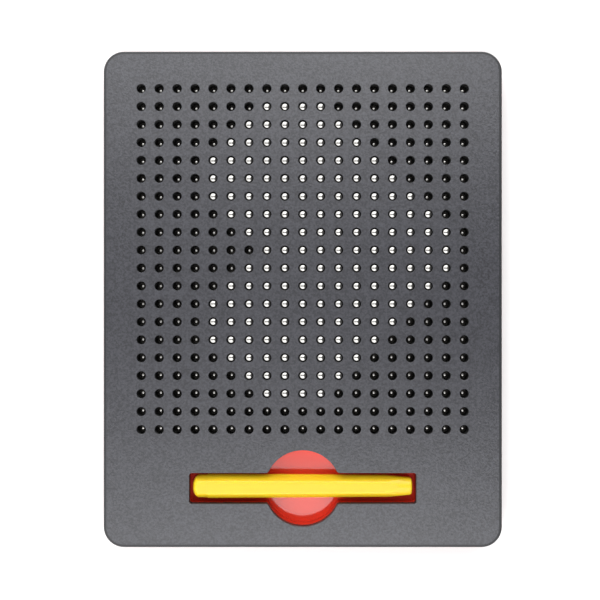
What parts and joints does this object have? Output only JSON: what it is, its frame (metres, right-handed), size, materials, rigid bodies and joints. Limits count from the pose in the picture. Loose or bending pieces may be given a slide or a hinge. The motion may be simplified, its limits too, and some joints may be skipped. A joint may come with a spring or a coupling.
{
  "type": "magnetic bead drawing board",
  "caption": "Flat drawing board with a grid of steel balls that a magnetic stylus pulls up to the face and a finger presses back down; the stylus lies in a recess.",
  "frame": {"origin": "middle of the footprint, level with the soles of the rubber feet", "axes": "+Z out of the drawing face, +Y towards the top edge of the board (the stylus recess is at -Y), +X to the right"},
  "size_m": [0.1856, 0.231, 0.0143],
  "materials": {
    "panel_plastic": "fine matt grain, moulded, dark grey",
    "red_plastic": "satin moulded plastic, red",
    "yellow_plastic": "semi-gloss moulded plastic, yellow",
    "ball_steel": "polished steel ball",
    "tray_plastic": "matt moulded plastic, black",
    "magnet_sheet": "flexible magnetic sheet, dark brown, matt",
    "magnet_metal": "nickel-plated rod magnet",
    "screw_steel": "zinc-plated steel screw",
    "foot_rubber": "soft black rubber"
  },
  "bodies": {
    "board": {"front_panel": "panel_plastic", "upper_magnet_sheet": "magnet_sheet", "bead_tray": "tray_plastic", "lower_magnet_sheet": "magnet_sheet", "back_cover": "red_plastic", "case_screws": "screw_steel", "rubber_feet": "foot_rubber"},
    "stylus": {"stylus_barrel": "yellow_plastic", "stylus_end_cap": "yellow_plastic", "stylus_magnet": "magnet_metal"},
    "raised_row_02": {"raised_balls_row_02": "ball_steel"},
    "raised_row_03": {"raised_balls_row_03": "ball_steel"},
    "raised_row_04": {"raised_balls_row_04": "ball_steel"},
    "raised_row_05": {"raised_balls_row_05": "ball_steel"},
    "raised_row_06": {"raised_balls_row_06": "ball_steel"},
    "raised_row_07": {"raised_balls_row_07": "ball_steel"},
    "raised_row_08": {"raised_balls_row_08": "ball_steel"},
    "raised_row_09": {"raised_balls_row_09": "ball_steel"},
    "raised_row_10": {"raised_balls_row_10": "ball_steel"},
    "raised_row_11": {"raised_balls_row_11": "ball_steel"},
    "raised_row_12": {"raised_balls_row_12": "ball_steel"},
    "raised_row_13": {"raised_balls_row_13": "ball_steel"},
    "raised_row_14": {"raised_balls_row_14": "ball_steel"},
    "raised_row_15": {"raised_balls_row_15": "ball_steel"},
    "raised_row_16": {"raised_balls_row_16": "ball_steel"},
    "raised_row_17": {"raised_balls_row_17": "ball_steel"},
    "raised_row_18": {"raised_balls_row_18": "ball_steel"},
    "lowered_row_01": {"lowered_balls_row_01": "ball_steel"},
    "lowered_row_02": {"lowered_balls_row_02": "ball_steel"},
    "lowered_row_03": {"lowered_balls_row_03": "ball_steel"},
    "lowered_row_04": {"lowered_balls_row_04": "ball_steel"},
    "lowered_row_05": {"lowered_balls_row_05": "ball_steel"},
    "lowered_row_06": {"lowered_balls_row_06": "ball_steel"},
    "lowered_row_07": {"lowered_balls_row_07": "ball_steel"},
    "lowered_row_08": {"lowered_balls_row_08": "ball_steel"},
    "lowered_row_09": {"lowered_balls_row_09": "ball_steel"},
    "lowered_row_10": {"lowered_balls_row_10": "ball_steel"},
    "lowered_row_11": {"lowered_balls_row_11": "ball_steel"},
    "lowered_row_12": {"lowered_balls_row_12": "ball_steel"},
    "lowered_row_13": {"lowered_balls_row_13": "ball_steel"},
    "lowered_row_14": {"lowered_balls_row_14": "ball_steel"},
    "lowered_row_15": {"lowered_balls_row_15": "ball_steel"},
    "lowered_row_16": {"lowered_balls_row_16": "ball_steel"},
    "lowered_row_17": {"lowered_balls_row_17": "ball_steel"},
    "lowered_row_18": {"lowered_balls_row_18": "ball_steel"},
    "lowered_row_19": {"lowered_balls_row_19": "ball_steel"},
    "lowered_row_20": {"lowered_balls_row_20": "ball_steel"}
  },
  "joints": [
    {"name": "lift_stylus", "type": "slide", "parent": "board", "child": "stylus", "axis": [0, 0, 1], "range_m": [0, 0.04]},
    {"name": "press_row_02", "type": "slide", "parent": "board", "child": "raised_row_02", "axis": [0, 0, 1], "range_m": [-0.00405, 0]},
    {"name": "press_row_03", "type": "slide", "parent": "board", "child": "raised_row_03", "axis": [0, 0, 1], "range_m": [-0.00405, 0]},
    {"name": "press_row_04", "type": "slide", "parent": "board", "child": "raised_row_04", "axis": [0, 0, 1], "range_m": [-0.00405, 0]},
    {"name": "press_row_05", "type": "slide", "parent": "board", "child": "raised_row_05", "axis": [0, 0, 1], "range_m": [-0.00405, 0]},
    {"name": "press_row_06", "type": "slide", "parent": "board", "child": "raised_row_06", "axis": [0, 0, 1], "range_m": [-0.00405, 0]},
    {"name": "press_row_07", "type": "slide", "parent": "board", "child": "raised_row_07", "axis": [0, 0, 1], "range_m": [-0.00405, 0]},
    {"name": "press_row_08", "type": "slide", "parent": "board", "child": "raised_row_08", "axis": [0, 0, 1], "range_m": [-0.00405, 0]},
    {"name": "press_row_09", "type": "slide", "parent": "board", "child": "raised_row_09", "axis": [0, 0, 1], "range_m": [-0.00405, 0]},
    {"name": "press_row_10", "type": "slide", "parent": "board", "child": "raised_row_10", "axis": [0, 0, 1], "range_m": [-0.00405, 0]},
    {"name": "press_row_11", "type": "slide", "parent": "board", "child": "raised_row_11", "axis": [0, 0, 1], "range_m": [-0.00405, 0]},
    {"name": "press_row_12", "type": "slide", "parent": "board", "child": "raised_row_12", "axis": [0, 0, 1], "range_m": [-0.00405, 0]},
    {"name": "press_row_13", "type": "slide", "parent": "board", "child": "raised_row_13", "axis": [0, 0, 1], "range_m": [-0.00405, 0]},
    {"name": "press_row_14", "type": "slide", "parent": "board", "child": "raised_row_14", "axis": [0, 0, 1], "range_m": [-0.00405, 0]},
    {"name": "press_row_15", "type": "slide", "parent": "board", "child": "raised_row_15", "axis": [0, 0, 1], "range_m": [-0.00405, 0]},
    {"name": "press_row_16", "type": "slide", "parent": "board", "child": "raised_row_16", "axis": [0, 0, 1], "range_m": [-0.00405, 0]},
    {"name": "press_row_17", "type": "slide", "parent": "board", "child": "raised_row_17", "axis": [0, 0, 1], "range_m": [-0.00405, 0]},
    {"name": "press_row_18", "type": "slide", "parent": "board", "child": "raised_row_18", "axis": [0, 0, 1], "range_m": [-0.00405, 0]},
    {"name": "pull_row_01", "type": "slide", "parent": "board", "child": "lowered_row_01", "axis": [0, 0, 1], "range_m": [0, 0.00405]},
    {"name": "pull_row_02", "type": "slide", "parent": "board", "child": "lowered_row_02", "axis": [0, 0, 1], "range_m": [0, 0.00405]},
    {"name": "pull_row_03", "type": "slide", "parent": "board", "child": "lowered_row_03", "axis": [0, 0, 1], "range_m": [0, 0.00405]},
    {"name": "pull_row_04", "type": "slide", "parent": "board", "child": "lowered_row_04", "axis": [0, 0, 1], "range_m": [0, 0.00405]},
    {"name": "pull_row_05", "type": "slide", "parent": "board", "child": "lowered_row_05", "axis": [0, 0, 1], "range_m": [0, 0.00405]},
    {"name": "pull_row_06", "type": "slide", "parent": "board", "child": "lowered_row_06", "axis": [0, 0, 1], "range_m": [0, 0.00405]},
    {"name": "pull_row_07", "type": "slide", "parent": "board", "child": "lowered_row_07", "axis": [0, 0, 1], "range_m": [0, 0.00405]},
    {"name": "pull_row_08", "type": "slide", "parent": "board", "child": "lowered_row_08", "axis": [0, 0, 1], "range_m": [0, 0.00405]},
    {"name": "pull_row_09", "type": "slide", "parent": "board", "child": "lowered_row_09", "axis": [0, 0, 1], "range_m": [0, 0.00405]},
    {"name": "pull_row_10", "type": "slide", "parent": "board", "child": "lowered_row_10", "axis": [0, 0, 1], "range_m": [0, 0.00405]},
    {"name": "pull_row_11", "type": "slide", "parent": "board", "child": "lowered_row_11", "axis": [0, 0, 1], "range_m": [0, 0.00405]},
    {"name": "pull_row_12", "type": "slide", "parent": "board", "child": "lowered_row_12", "axis": [0, 0, 1], "range_m": [0, 0.00405]},
    {"name": "pull_row_13", "type": "slide", "parent": "board", "child": "lowered_row_13", "axis": [0, 0, 1], "range_m": [0, 0.00405]},
    {"name": "pull_row_14", "type": "slide", "parent": "board", "child": "lowered_row_14", "axis": [0, 0, 1], "range_m": [0, 0.00405]},
    {"name": "pull_row_15", "type": "slide", "parent": "board", "child": "lowered_row_15", "axis": [0, 0, 1], "range_m": [0, 0.00405]},
    {"name": "pull_row_16", "type": "slide", "parent": "board", "child": "lowered_row_16", "axis": [0, 0, 1], "range_m": [0, 0.00405]},
    {"name": "pull_row_17", "type": "slide", "parent": "board", "child": "lowered_row_17", "axis": [0, 0, 1], "range_m": [0, 0.00405]},
    {"name": "pull_row_18", "type": "slide", "parent": "board", "child": "lowered_row_18", "axis": [0, 0, 1], "range_m": [0, 0.00405]},
    {"name": "pull_row_19", "type": "slide", "parent": "board", "child": "lowered_row_19", "axis": [0, 0, 1], "range_m": [0, 0.00405]},
    {"name": "pull_row_20", "type": "slide", "parent": "board", "child": "lowered_row_20", "axis": [0, 0, 1], "range_m": [0, 0.00405]}
  ]
}
